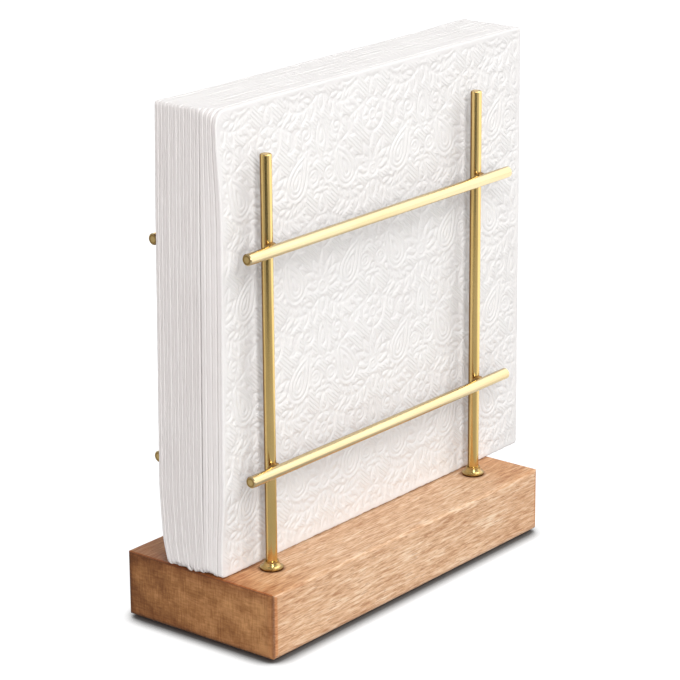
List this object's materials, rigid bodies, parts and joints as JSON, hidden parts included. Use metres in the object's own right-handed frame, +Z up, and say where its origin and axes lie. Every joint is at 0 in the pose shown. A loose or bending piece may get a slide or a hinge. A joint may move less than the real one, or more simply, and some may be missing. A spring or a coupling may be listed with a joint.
{
  "type": "napkin holder",
  "caption": "Upright napkin holder: a wooden block carries brass rod frames, front and rear, made of posts and crossbars, with folded paper napkins on edge between them.",
  "frame": {"origin": "centre of the block's footprint, on the surface that its felt rests on", "axes": "+X along the block to the right, -Y towards the front, +Z up"},
  "size_m": [0.17, 0.0654, 0.1839],
  "materials": {
    "oiled_wood": "oiled, satin",
    "brass_rod": "satin, drawn",
    "zinc_steel": "zinc plated",
    "felt": "pressed wool felt",
    "napkin_tissue": "soft, embossed"
  },
  "bodies": {
    "holder": {"wood_block": "oiled_wood", "felt_liner": "felt", "front_left_post": "brass_rod", "front_right_post": "brass_rod", "rear_left_post": "brass_rod", "rear_right_post": "brass_rod", "front_left_collar": "brass_rod", "front_right_collar": "brass_rod", "rear_left_collar": "brass_rod", "rear_right_collar": "brass_rod", "front_lower_bar": "brass_rod", "front_upper_bar": "brass_rod", "rear_lower_bar": "brass_rod", "rear_upper_bar": "brass_rod", "front_brazing": "brass_rod", "rear_brazing": "brass_rod", "fixing_washers": "zinc_steel", "fixing_nuts": "zinc_steel"},
    "front_napkin": {"napkin_01": "napkin_tissue"},
    "napkin_pack": {"napkin_02": "napkin_tissue", "napkin_03": "napkin_tissue", "napkin_04": "napkin_tissue", "napkin_05": "napkin_tissue", "napkin_06": "napkin_tissue", "napkin_07": "napkin_tissue", "napkin_08": "napkin_tissue", "napkin_09": "napkin_tissue", "napkin_10": "napkin_tissue", "napkin_11": "napkin_tissue", "napkin_12": "napkin_tissue", "napkin_13": "napkin_tissue", "napkin_14": "napkin_tissue", "napkin_15": "napkin_tissue", "napkin_16": "napkin_tissue"}
  },
  "joints": [
    {"name": "front_napkin_lift", "type": "slide", "parent": "holder", "child": "front_napkin", "axis": [0, 0, 1], "range_m": [0, 0.15]},
    {"name": "napkin_pack_lift", "type": "slide", "parent": "holder", "child": "napkin_pack", "axis": [0, 0, 1], "range_m": [0, 0.15]}
  ]
}
